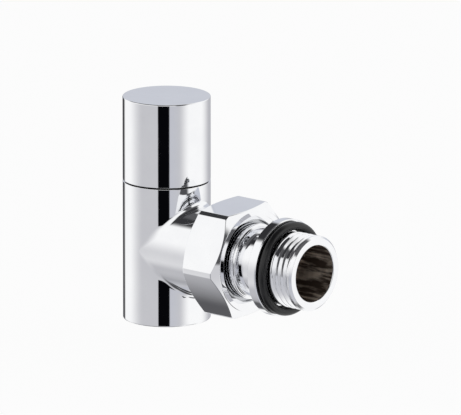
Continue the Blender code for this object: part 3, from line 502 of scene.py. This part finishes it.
def makeBody(look):
    front = np.radians(np.linspace(-90, 90, look["frontSteps"] + 1))
    rear = np.radians(np.linspace(90, 270, look["frontSteps"] + 1))
    columns = np.concatenate([front, rear[1:-1]])
    lowZ, highZ = look["baseEdge"], bodyTop - look["rimEdge"]
    sideZ = np.linspace(highZ, lowZ, look["sideSteps"] + 1)
    half = look["frontSteps"] // 2
    ones = np.ones_like
    # the walk round the front half's rectangle: top middle, +90 side, bottom, -90 side, back to the start
    rimTheta = np.concatenate([front[half:], ones(sideZ[1:]) * front[-1], front[::-1][1:],
                               ones(sideZ[1:]) * front[0], front[1:half]])
    rimZ = np.concatenate([ones(front[half:]) * highZ, sideZ[1:], ones(front[1:]) * lowZ,
                           sideZ[::-1][1:], ones(front[1:half]) * highZ])
    phi = np.arctan2(bodyRadius * rimTheta, rimZ - branchHeight)
    share = np.linspace(0, 1, look["outSteps"] + 1)[:, None]

    def wallRoundHole(radius, holeY, holeZ, low, high, sign, finish):
        # cylinder wall between a hole's outline and the front rectangle, then the plain rear half
        rimHeight = low + (rimZ - lowZ) / (highZ - lowZ) * (high - low)
        theta = (1 - share) * np.arcsin(holeY / radius) + share * rimTheta
        height = (1 - share) * (branchHeight + holeZ) + share * rimHeight
        back = low + (sideZ - lowZ) / (highZ - lowZ) * (high - low)
        return [sweep(radius, theta, height, (sign, 0.0, 0.0), finish=finish),
                sweep(radius, rear[None, :], back[:, None], (sign, 0.0, 0.0), wrap=False, finish=finish)]

    # A ball rolls in the corner, its centre one radius off both cylinders. Polishing has washed the corner
    # out at the sides, so the ball grows there, between sideStart and 1 of the sine of the angle.
    n = look["neck"]
    grown = np.clip((np.abs(np.sin(phi)) - look["sideStart"]) / (1 - look["sideStart"]), 0, 1)
    f = look["neckFillet"] + (look["sideFillet"] - look["neckFillet"]) * grown * grown * (3 - 2 * grown)
    centreY, centreZ = (n + f) * np.sin(phi), (n + f) * np.cos(phi)
    centreX = np.sqrt((bodyRadius + f) ** 2 - centreY ** 2)
    zero = np.zeros_like(phi)
    centre = np.stack([centreX, centreY, centreZ + branchHeight], axis=-1)
    toBody = -np.stack([centreX, centreY, zero], axis=-1) / (bodyRadius + f)[:, None]
    toNeck = -np.stack([zero, centreY, centreZ], axis=-1) / (n + f)[:, None]
    bend = np.arccos((toBody * toNeck).sum(axis=-1))[None, :, None]
    part = np.linspace(0, 1, look["filletSteps"] + 1)[:, None, None]
    arm = (np.sin((1 - part) * bend) * toBody + np.sin(part * bend) * toNeck) / np.sin(bend)
    patches = [{"points": centre + f[None, :, None] * arm, "normals": -arm, "wrap": True, "finish": 0}]
    shrink = bodyRadius / (bodyRadius + f)
    patches += wallRoundHole(bodyRadius, centreY * shrink, centreZ, lowZ, highZ, 1.0, 0)

    along = (1 - part[:, :, 0]) * centreX + part[:, :, 0] * look["neckEnd"]
    patches.append(sweep(n, phi[None, :], along, (1.0, 0.0, 0.0), True))
    s, c, end = look["spigot"], look["spigotChamfer"], look["neckEnd"]
    first, last = spigotFace - c - runIn, end + c + runIn
    waterway, tailSocket, tailEnd = look["branchBore"], look["tailSocket"], look["tailSocketEnd"]
    patches.append(turned([(waterway, tailEnd), (tailSocket, tailEnd, ease), (tailSocket, spigotFace, ease),
                           (s - c, spigotFace, ease), (s, spigotFace - c, ease), (s, first)], phi, True))
    patches.append(thread(phi, s, first, last, look["spigotPitch"], look["spigotThread"], True))
    patches.append(turned([(s, last), (s, end + c, ease), (s - c, end, ease), (n, end)], phi, True))
    chamber, chamberTop, seatFloor = look["chamber"], look["chamberTop"], look["seatFloor"]
    boreStart = np.sqrt(chamber ** 2 - (waterway * np.sin(phi)) ** 2)
    boreAlong = (1 - share) * boreStart + share * tailEnd
    patches.append(sweep(waterway, phi[None, :], boreAlong, (-1.0, 0.0, 0.0), True, finish=1))
    patches += wallRoundHole(chamber, waterway * np.sin(phi), waterway * np.cos(phi), seatFloor, chamberTop,
                             -1.0, 1)

    socket, lead, depth, edge = look["socket"], look["leadIn"], look["socketDepth"], look["baseEdge"]
    mouth, leadEdge, threadEnd = socket + lead + look["mouthFlat"], look["leadEdge"], depth - look["runOut"]
    patches.append(turned([(bodyRadius, edge), (bodyRadius, 0.0, edge), (mouth, 0.0)], columns))
    patches.append(turned([(mouth, 0.0), (socket + lead, 0.0, leadEdge), (socket, lead, leadEdge),
                           (socket, lead + runIn)], columns, finish=1))
    patches.append(thread(columns, socket, lead + runIn, threadEnd, look["socketPitch"],
                          look["socketThread"], inside=True, finish=1))
    seatBore, lip, lipHeight = look["seatBore"], look["lipRadius"], look["lipHeight"]
    patches.append(turned([(socket, threadEnd), (socket, depth, 0.2), (seatBore, depth, 0.15),
                           (seatBore, lipHeight, ease), (lip, lipHeight, ease), (lip, seatFloor),
                           (chamber, seatFloor)], columns, finish=1))
    rim, bonnetSocket, flat = look["rimEdge"], look["bonnetSocket"], bodyRadius - look["rimFlat"]
    patches.append(turned([(chamber, chamberTop), (bonnetSocket, chamberTop), (bonnetSocket, bodyTop, ease),
                           (flat, bodyTop)], columns, finish=1))
    patches.append(turned([(flat, bodyTop), (bodyRadius, bodyTop, rim), (bodyRadius, highZ)], columns))
    return patches


makePiece("bodyShell", makeBody(bodyLook), [chrome, brass], "valve", "chrome", "valve_body")


# Cap and its insert

capLook = {"wall": 1.0, "top": 1.5, "edge": 0.3, "lipEdge": 0.12, "lipFlat": 0.4, "topEdge": 0.4,
           "columns": 160}
insertLook = {"low": 46.2, "slotTop": 54.0, "webLow": 58.2, "high": 60.2, "inner": 7.2, "outer": 10.7,
              "slotWidth": 1.2, "slots": 6, "perFinger": 14}


def makeCap(look):
    angles = np.radians(np.arange(look["columns"]) * 360 / look["columns"])
    inner, under = bodyRadius - look["wall"], capTop - look["top"]
    lip = inner + look["lipFlat"]
    outside = [(0.0, capTop), (bodyRadius, capTop, look["edge"]), (bodyRadius, capBottom, look["lipEdge"]),
               (lip, capBottom)]
    inside = [(lip, capBottom), (inner, capBottom, ease), (inner, under, look["topEdge"]), (0.0, under)]
    return [turned(outside, angles, arcSteps=8), turned(inside, angles, finish=1)]


def makeInsert(look):
    # fingers hang from a ring; each slot is as wide at the bore as at the rim, so its angle there is larger
    slots, count = look["slots"], look["perFinger"]
    middle = np.radians(360 / slots) * np.arange(slots)[:, None]
    share = np.linspace(0, 1, count)[None, :]

    def fingerAngles(radius):
        half = math.asin(look["slotWidth"] / 2 / radius)
        return middle + half + share * (np.radians(360 / slots) - 2 * half)

    low, top, high = look["low"], look["slotTop"], look["high"]
    inner, outer = look["inner"], look["outer"]
    angleIn, angleOut = fingerAngles(inner), fingerAngles(outer)
    ringIn, ringOut = angleIn.ravel(), angleOut.ravel()
    patches = []
    lower = top + (low - top) * np.linspace(0, 1, 6)[:, None]
    fromTo = np.array([[inner], [outer]])
    for i in range(slots):
        patches.append(sweep(outer, angleOut[i][None, :], lower, (1.0, 0.0, 0.0), wrap=False))
        patches.append(sweep(inner, angleIn[i][None, :], lower, (-1.0, 0.0, 0.0), wrap=False))
        for column, sign in ((0, -1.0), (-1, 1.0)):
            ends = np.array([angleIn[i][column], angleOut[i][column]])[None, :]
            patches.append(sweep(fromTo.T, ends, lower, (0.0, sign, 0.0), wrap=False))
        foot = np.stack([angleIn[i], angleOut[i]])
        gap = np.array([[angle[i - 1][-1] - (2 * np.pi if i == 0 else 0), angle[i][0]]
                        for angle in (angleIn, angleOut)])
        for angle, height in ((foot, low), (gap, top)):
            patches.append(sweep(fromTo, angle, height, (0.0, 0.0, -1.0), wrap=False))
    web = look["webLow"]
    patches.append(sweep(outer, ringOut[None, :], np.array([[high], [top]]), (1.0, 0.0, 0.0)))
    patches.append(sweep(inner, ringIn[None, :], np.array([[web], [top]]), (-1.0, 0.0, 0.0)))
    patches.append(sweep(np.array([[0.0], [inner]]), ringIn[None, :], web, (0.0, 0.0, -1.0)))
    patches.append(sweep(np.array([[0.0], [outer]]), ringOut[None, :], high, (0.0, 0.0, 1.0)))
    return patches


makePiece("capShell", makeCap(capLook), [chrome, plastic], "cap", "chrome", "cap_shell")
makePiece("capInsert", makeInsert(insertLook), [plastic], "cap", "plastic", "cap_insert")


# Headwork inside the cap

bonnetLook = {"bottom": 28.9, "radius": 9.1, "sealFloor": 7.7, "sealHeight": 30.3, "sealHalf": 0.85,
              "flangeLow": 38.8, "flangeHigh": 40.2, "flange": 10.4, "flangeEdge": 0.12, "flangeFlat": 0.2,
              "hexApothem": 8.49, "hexFace": 8.75, "hexTop": 45.2, "hexFlat": 0.8, "sleeve": 6.6,
              "top": 55.6, "topFlat": 0.6, "bevel": 0.35, "gripHeight": 49.1, "gripHalf": 0.9,
              "gripFloor": 5.4, "bore": 5.4, "boreTop": 43.0, "threadBore": 4.3, "stopLow": 53.5,
              "stopHigh": 54.9, "stopFloor": 5.05}
spindleLook = {"radius": 5.1, "bottom": 25.3, "shoulder": 39.0, "top": 50.0, "bevel": 0.3, "thread": 4.0,
               "threadTop": 0.5, "threadFoot": 0.4, "pitch": 1.0, "threadDepth": 0.55, "keyApothem": 2.5,
               "keyDepth": 8.0, "keyBevel": 0.2, "keyBevelDepth": 0.25, "rings": (36.0, 31.5),
               "sealFloor": 3.8, "sealHalf": 0.8, "nose": 2.6, "noseEnd": 21.3, "noseGroove": 23.15,
               "noseFloor": 2.2, "noseHalf": 0.65}
stopRingLook = {"inner": 3.4, "outer": 4.75, "low": 53.8, "high": 54.6, "gap": 1.1, "rounding": 0.15}

# rubber rings: CAD node, body, radius to the middle of the section, section, place along the axis, steps
headworkRings = {
    "gripRing": ("cap_grip_ring", "valve", 6.3, 1.2, 49.1, 16),
    "headworkSeal": ("bonnet_o_ring", "valve", 8.55, 1.1, 30.3, 16),
    "lowerSpindleSeal": ("spindle_o_ring_lower", "regulator", 4.6, 1.0, 31.5, 16),
    "upperSpindleSeal": ("spindle_o_ring_upper", "regulator", 4.6, 1.0, 36.0, 16),
}
tailRings = {
    "noseSeal": ("union_o_ring", "tail", 8.65, 1.1, 25.05, 16),
    "radiatorSeal": ("radiator_o_ring", "tail", 11.7, 2.3, 44.3, 36),
}


def groove(radius, floor, start, end):
    # corners of a square groove from one side to the other, as the walk along the wall meets them
    return [(radius, start), (floor, start), (floor, end), (radius, end)]


def makeBonnet(look):
    columns = hexColumns(0.0)
    grip, half, seal, sealHalf = look["gripHeight"], look["gripHalf"], look["sealHeight"], look["sealHalf"]
    sleeve, radius, bore, wide = look["sleeve"], look["radius"], look["threadBore"], look["bore"]
    top, bevel, hexTop, hexFlat = look["top"], look["bevel"], look["hexTop"], sleeve + look["hexFlat"]
    topFlat, low, high = bore + look["topFlat"], look["flangeLow"], look["flangeHigh"]
    flange, flat, boreTop = look["flange"], look["flange"] - look["flangeFlat"], look["boreTop"]
    gripUp, *gripMiddle, gripDown = groove(sleeve, look["gripFloor"], grip + half, grip - half)
    patches = [turned([(topFlat, top), (sleeve - bevel, top, 0.15), (sleeve, top - bevel, 0.15),
                       (*gripUp, ease), *gripMiddle, (*gripDown, ease), (sleeve, hexTop, 0.2),
                       (hexFlat, hexTop)], columns)]
    hexagon, along, normal = hexBand(columns, 0.0, look["hexApothem"], look["hexFace"], high, hexTop,
                                     bevelLow=False)
    patches.append(sweep(hexagon, columns[None, :], along, normal))
    inner = np.stack([np.full_like(columns, hexFlat), hexagon[0]])
    patches.append(sweep(inner, columns[None, :], hexTop, (0.0, 0.0, 1.0)))
    ledge = np.stack([hexagon[-1], np.full_like(columns, flat)])
    patches.append(sweep(ledge, columns[None, :], high, (0.0, 0.0, 1.0)))
    patches.append(turned([
        (flat, high), (flange, high, look["flangeEdge"]), (flange, low, look["flangeEdge"]), (radius, low),
        *groove(radius, look["sealFloor"], seal + sealHalf, seal - sealHalf),
        (radius, look["bottom"], ease), (wide, look["bottom"], 0.2), (wide, boreTop, ease), (bore, boreTop),
        *groove(bore, look["stopFloor"], look["stopLow"], look["stopHigh"]), (bore, top, 0.25),
        (topFlat, top)], columns))
    return patches


def makeSpindle(look):
    columns = hexColumns(0.0, 12, math.radians(2.0))
    top, radius, shoulder, stem = look["top"], look["radius"], look["shoulder"], look["thread"]
    outline, nOut, nRound = hexOutline(columns, 0.0, look["keyApothem"])
    keyFloor, keyTop, rim = top - look["keyDepth"], top - look["keyBevelDepth"], stem - look["bevel"]
    opened, first, last = outline + look["keyBevel"], top - look["threadTop"], shoulder + look["threadFoot"]
    patches = [
        sweep(np.stack([outline * 0, outline]), columns[None, :], keyFloor, (0.0, 0.0, 1.0)),
        sweep(outline[None, :], columns[None, :], np.array([[keyFloor], [keyTop]]),
              (-nOut[None, :], -nRound[None, :], 0.0)),
        sweep(np.stack([outline, opened]), columns[None, :], np.array([[keyTop], [top]]),
              (-nOut * 0.6, -nRound * 0.6, 0.8)),
        sweep(np.stack([opened, np.full_like(columns, rim)]), columns[None, :], top, (0.0, 0.0, 1.0)),
        turned([(rim, top), (stem, top - look["bevel"]), (stem, first)], columns),
        thread(columns, stem, first, last, look["pitch"], look["threadDepth"], perTurn=8)]
    corners = [(stem, last), (stem, shoulder), (radius, shoulder, 0.15)]
    for height in look["rings"]:
        corners += groove(radius, look["sealFloor"], height + look["sealHalf"], height - look["sealHalf"])
    nose, end = look["nose"], look["noseEnd"]
    corners += [(radius, look["bottom"], 0.2), (nose, look["bottom"]),
                *groove(nose, look["noseFloor"], look["noseGroove"] + look["noseHalf"],
                        look["noseGroove"] - look["noseHalf"]),
                (nose, end, 0.3), (0.0, end)]
    patches.append(turned(corners, columns))
    return patches


rings = np.radians(np.arange(128) * 360 / 128)     # places round every plain ring


def makeRings(table, onBranch):
    for name, (nodeName, body, radius, section, reach, steps) in table.items():
        ring = ringOfWire(radius, section, reach, rings, onBranch, steps)
        makePiece(name, [ring], [rubber], body, "rubber", nodeName)


makePiece("headwork", makeBonnet(bonnetLook), [brass], "valve", "brass", "bonnet")
makePiece("regulatingSpindle", makeSpindle(spindleLook), [brass], "regulator", "brass", "spindle")
makePiece("stopRing", openRing(stopRingLook, False), [steel], "valve", "steel", "spindle_stop_ring")
makeRings(headworkRings, False)


# Seat seal and what holds it, seen up the pipe socket

sealLook = {"inner": 1.8, "outer": 6.6, "low": 15.5, "high": 17.5, "rounding": 0.2}
washerLook = {"inner": 1.8, "outer": 4.6, "low": 14.6, "high": 15.2, "rounding": 0.12}

makePiece("seatRubber", [turned(washerCorners(sealLook), rings)], [rubber], "plug", "rubber", "seat_seal")
makePiece("sealWasher", [turned(washerCorners(washerLook), rings)], [steel], "plug", "steel", "seal_washer")
for nodeName, material in (("seal_carrier", brass), ("swivel_ring", steel), ("seal_screw", steel)):
    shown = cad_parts[nodeName]
    shown.data.materials.clear()
    shown.data.materials.append(material)


# Union nut

nutLook = {"apothem": 14.6, "blank": 16.47, "faceRadius": 14.0, "pillow": 0.12, "bore": 13.3,
           "lipBack": 29.6, "mouth": 11.3, "mouthBevel": 1.3, "mouthDepth": 0.75, "mouthEdge": 0.12,
           "mouthFlat": 0.7, "threadBevel": 0.3, "backFlat": 0.15, "pitch": 1.814, "threadDepth": 0.9,
           "threadLength": 8.0}


def cornerTurn(nodeName):
    # angle of one corner of a hexagon on the branch: 30 degrees from the normal of its widest flat
    sides = [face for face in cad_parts[nodeName].data.polygons if abs(face.normal.x) < 0.1]
    normal = max(sides, key=lambda face: face.area).normal
    return math.atan2(normal.y, normal.z) + math.radians(30)


def makeNut(look):
    turn = cornerTurn("union_nut")
    cut = math.radians(30) - math.acos(look["apothem"] / look["blank"])
    columns = hexColumns(turn, 24, cut=cut)
    radius, along, normal = hexBand(columns, turn, look["apothem"], look["faceRadius"], nutBack, nutFront,
                                    blank=look["blank"], pillow=look["pillow"])
    patches = [sweep(radius, columns[None, :], along, normal, True)]
    bore, mouth, bevel = look["bore"], look["mouth"], look["threadBevel"]
    mouthTop = mouth + look["mouthBevel"]
    mouthFlat, backFlat = mouthTop + look["mouthFlat"], bore + bevel + look["backFlat"]
    for edge, row, face, sign in ((mouthFlat, 0, nutFront, 1.0), (backFlat, -1, nutBack, -1.0)):
        faceRows = np.stack([np.full_like(columns, edge), radius[row]])
        patches.append(sweep(faceRows, columns[None, :], face, (0.0, 0.0, sign), True))
    first, last = nutBack + bevel + runIn, nutBack + look["threadLength"]
    patches.append(turned([(backFlat, nutBack), (bore + bevel, nutBack, ease), (bore, nutBack + bevel, ease),
                           (bore, first)], columns, True))
    patches.append(thread(columns, bore, first, last, look["pitch"], look["threadDepth"], True, True))
    patches.append(turned([(bore, last), (bore, look["lipBack"]), (mouth, look["lipBack"], 0.15),
                           (mouth, nutFront - look["mouthDepth"], look["mouthEdge"]),
                           (mouthTop, nutFront, look["mouthEdge"]), (mouthFlat, nutFront)], columns, True))
    return patches


makePiece("unionNut", makeNut(nutLook), [chrome], "nut", "chrome", "union_nut")


# Radiator tail with its rings

tailLook = {"bore": 7.75, "boreEnd": 40.4, "boreEdge": 0.3, "boreFront": 0.35, "rimFlat": 0.5,
            "keyApothem": 6.0, "keyEnd": 33.4, "rearBore": 5.7, "thread": 10.3, "leadIn": 0.6,
            "threadStart": 0.25, "pitch": 1.814, "threadDepth": 1.15, "threadEnd": 45.5, "relief": 9.9,
            "collar": 13.3, "collarFront": 43.0, "collarBack": 40.2, "chamfer": 0.25, "collarEdge": 0.08,
            "step": 10.4, "stepBack": 39.4, "neck": 9.5, "neckFillet": 0.75, "shoulderFront": 31.9,
            "shoulder": 10.4, "grooveFront": 29.6, "groove": 9.5, "flangeFront": 27.8, "flange": 10.9,
            "flangeBack": 26.8, "nose": 9.2, "sealFloor": 7.8, "sealReach": 25.05, "sealHalf": 0.85}
splitRingLook = {"inner": 9.8, "outer": 12.4, "low": 28.1, "high": 29.3, "gap": 3.0, "rounding": 0.15}


def makeTail(look):
    columns = hexColumns(0.0, 26)
    outline, nOut, nRound = hexOutline(columns, 0.0, look["keyApothem"])
    face, lead, outer, wide = tailFront, look["leadIn"], look["thread"], look["bore"]
    first, last, rim = face - lead - look["threadStart"], look["threadEnd"], wide + look["rimFlat"]
    ch, collar, edge, relief = look["chamfer"], look["collar"], look["collarEdge"], look["relief"]
    front, back, stepBack, neck = look["collarFront"], look["collarBack"], look["stepBack"], look["neck"]
    shoulder, shoulderFront, grooveFront = look["shoulder"], look["shoulderFront"], look["grooveFront"]
    flange, flangeFront, flangeBack = look["flange"], look["flangeFront"], look["flangeBack"]
    nose, seal, half, rear = look["nose"], look["sealReach"], look["sealHalf"], look["rearBore"]
    keyEnd, boreEnd, boreFront = look["keyEnd"], look["boreEnd"], face - look["boreFront"]
    patches = [
        turned([(rim, face), (outer - lead, face, ease), (outer, face - lead, ease), (outer, first)],
               columns, True),
        thread(columns, outer, first, last, look["pitch"], look["threadDepth"], True, perTurn=24, crest=0.99,
               fade=0.4),
        turned([(outer, last), (relief, last, ease), (relief, front, 0.15), (collar - ch, front, edge),
                (collar, front - ch, edge), (collar, back + ch, edge), (collar - ch, back, edge),
                (look["step"], back, ease), (look["step"], stepBack, 0.15), (neck, stepBack, 0.2),
                (neck, shoulderFront, look["neckFillet"]), (shoulder, shoulderFront, ease),
                (shoulder, grooveFront, ease),
                (look["groove"], grooveFront)], columns, True),
        turned([(look["groove"], grooveFront), (look["groove"], flangeFront), (flange, flangeFront, ease),
                (flange, flangeBack, ease), (nose, flangeBack),
                *groove(nose, look["sealFloor"], seal + half, seal - half), (nose, tailBack, 0.2),
                (rear, tailBack, 0.3), (rear, keyEnd)], columns, True, 1),
        sweep(outline[None, :], columns[None, :], np.array([[keyEnd], [boreEnd]]),
              (-nOut[None, :], -nRound[None, :], 0.0), True, finish=1),
        turned([(wide, boreEnd), (wide, boreFront)], columns, True, 1),
        turned([(wide, boreFront), (wide, face, look["boreEdge"]), (rim, face)], columns, True),
    ]
    for rows, place in (((outline * 0 + rear, outline), keyEnd), ((outline, outline * 0 + wide), boreEnd)):
        patches.append(sweep(np.stack(rows), columns[None, :], place, (0.0, 0.0, 1.0), True, finish=1))
    return patches


makePiece("radiatorTail", makeTail(tailLook), [chrome, bore], "tail", "chrome", "tailpiece")
makePiece("splitRing", openRing(splitRingLook, True), [steel], "tail", "steel", "tail_split_ring")
makeRings(tailRings, True)


# Floor, studio and camera

studio = {"floorSize": 3.0, "floorDrop": 2e-5, "floorColor": (0.93, 0.93, 0.93, 1), "plainShare": 0.95,
          "front": 40.8, "white": 1.0}

# Cards and flags of the studio, as the object sees them. Azimuths run to the right from the front and
# elevations upwards; the four numbers are where a card starts, is whole, is whole to, and ends.
cards = {
    "greyFront": ((-116, -64, 30, 64), (-95, -90, -12, 20), (0.58, 0.58, 0.605)),
    "coolSide": ((2, 6, 12, 44), (-95, -90, -12, 6), (0.55, 0.56, 0.61)),
    "lowGrey": ((-140, -126, -60, -40), (-95, -90, -40, -24), (0.52, 0.52, 0.545)),
    "lowDark": ((-132, -122, -30, -10), (-95, -90, -66, -44), (0.07, 0.07, 0.075)),
    "lowLeft": ((-166, -156, -134, -120), (-95, -90, -47, -39), (0.105, 0.105, 0.112)),
    "lowRight": ((52, 62, 88, 98), (-46, -40, -30, -22), (0.14, 0.14, 0.145)),
    "frontDark": ((22, 30, 50, 60), (-10, -6, 52, 60), (0.085, 0.085, 0.09)),
    "frontTop": ((-36, -14, 90, 112), (36, 46, 60, 66), (0.11, 0.11, 0.115)),
    "leftTop": ((-160, -140, -20, 10), (43, 49, 95, 100), (0.04, 0.04, 0.043)),
    "underfoot": ((-200, -190, 190, 200), (-100, -95, -74, -62), (0.08, 0.08, 0.083)),
    "overhead": ((-200, -190, 190, 200), (56, 64, 95, 100), (0.04, 0.04, 0.043)),
    "rearTop": ((135, 150, 210, 225), (-4, 0, 32, 42), (0.60, 0.62, 0.68)),
    "rearFlag": ((-182, -170, -122, -106), (30, 38, 60, 72), (0.03, 0.03, 0.033)),
    "rightEdge": ((100, 150, 200, 215), (-40, -28, 0, 6), (0.50, 0.50, 0.53)),
    "leftEdge": ((-170, -160, -149, -136), (-40, -30, 0, 10), (0.05, 0.05, 0.053)),
    "blackFlag": ((-23.5, -21, 6, 9.5), (-40, -32, -6, 2), (0.002, 0.002, 0.003)),
}


def makeFloor(look):
    # a pale floor that keeps a faint shadow: mostly plain white to the camera, and clear from below
    h, z = look["floorSize"] / 2, -look["floorDrop"]
    mesh = bpy.data.meshes.new("floor")
    mesh.from_pydata([(-h, -h, z), (h, -h, z), (h, h, z), (-h, h, z)], [], [(0, 1, 2, 3)])
    floor = bpy.data.objects.new("floor", mesh)
    bpy.context.scene.collection.objects.link(floor)
    floor.visible_glossy = False
    material = bpy.data.materials.new("paleFloor")
    material.use_nodes = True
    tree = material.node_tree
    tree.nodes.clear()
    plain = addNode(tree, "ShaderNodeBsdfDiffuse", {"Color": look["floorColor"]}).outputs[0]
    bright = addNode(tree, "ShaderNodeEmission", {"Color": (1, 1, 1, 1), "Strength": 1.0}).outputs[0]
    clear = addNode(tree, "ShaderNodeBsdfTransparent").outputs[0]
    seen = addNode(tree, "ShaderNodeLightPath").outputs["Is Camera Ray"]
    shade = mixShaders(tree, mathNode(tree, "MULTIPLY", seen, look["plainShare"]), plain, bright)
    below = addNode(tree, "ShaderNodeNewGeometry").outputs["Backfacing"]
    addNode(tree, "ShaderNodeOutputMaterial", {"Surface": mixShaders(tree, below, shade, clear)})
    mesh.materials.append(material)


makeFloor(studio)


def makeStudio(look):
    # white room; the camera sees plain white and the metal sees the room with its cards
    world = bpy.data.worlds.new("studioRoom")
    bpy.context.scene.world = world
    world.use_nodes = True
    tree = world.node_tree
    tree.nodes.clear()
    way = addNode(tree, "ShaderNodeTexCoord").outputs["Generated"]
    ahead = addNode(tree, "ShaderNodeVectorRotate", {"Vector": way, "Angle": -math.radians(look["front"])},
                    rotation_type="Z_AXIS").outputs[0]
    x, y, z = addNode(tree, "ShaderNodeSeparateXYZ", {"Vector": ahead}).outputs
    azimuth = mathNode(tree, "DEGREES", mathNode(tree, "ARCTAN2", x, mathNode(tree, "MULTIPLY", y, -1.0)))
    elevation = mathNode(tree, "DEGREES", mathNode(tree, "ARCSINE", z))
    color = (look["white"], look["white"], look["white"], 1)
    for wide, tall, value in cards.values():
        middle = (wide[1] + wide[2]) / 2
        offset = mathNode(tree, "WRAP", mathNode(tree, "SUBTRACT", azimuth, middle), 180.0, -180.0)
        mask = 1.0
        for place, edges, base in ((offset, wide, middle), (elevation, tall, 0.0)):
            for low, high in ((edges[0], edges[1]), (edges[3], edges[2])):
                step = mapRange(tree, place, low - base, high - base, smooth=True)
                mask = mathNode(tree, "MULTIPLY", step, mask)
        color = mixColor(tree, mask, color, (*value, 1))
    room = addNode(tree, "ShaderNodeBackground", {"Color": color, "Strength": 1.0}).outputs[0]
    white = addNode(tree, "ShaderNodeBackground", {"Color": (1, 1, 1, 1), "Strength": 1.0}).outputs[0]
    seen = addNode(tree, "ShaderNodeLightPath").outputs["Is Camera Ray"]
    addNode(tree, "ShaderNodeOutputWorld", {"Surface": mixShaders(tree, seen, room, white)})


makeStudio(studio)

cameraLook = {"azimuth": 40.8, "elevation": 13.8, "distance": 2.5, "lens": 716.5,
              "right": 0.01736, "up": 0.00958, "sensor": 36.0, "clip": (0.05, 50.0)}


def makeCamera(look):
    azimuth, elevation = math.radians(look["azimuth"]), math.radians(look["elevation"])
    back = Vector((math.sin(azimuth) * math.cos(elevation), -math.cos(azimuth) * math.cos(elevation),
                   math.sin(elevation)))
    right = Vector((math.cos(azimuth), math.sin(azimuth), 0.0))
    up = back.cross(right)
    data = bpy.data.cameras.new("camera")
    data.lens = look["lens"]
    data.sensor_width = look["sensor"]
    data.clip_start, data.clip_end = look["clip"]
    camera = bpy.data.objects.new("camera", data)
    bpy.context.scene.collection.objects.link(camera)
    aim = Vector((0, 0, branchHeight * mm)) + right * look["right"] + up * look["up"]
    camera.location = aim + back * look["distance"]
    camera.rotation_mode = "QUATERNION"
    camera.rotation_quaternion = Matrix((right, up, back)).transposed().to_quaternion()
    bpy.context.scene.camera = camera


makeCamera(cameraLook)
bpy.context.scene.view_settings.view_transform = "Standard"
print("studio and camera made")
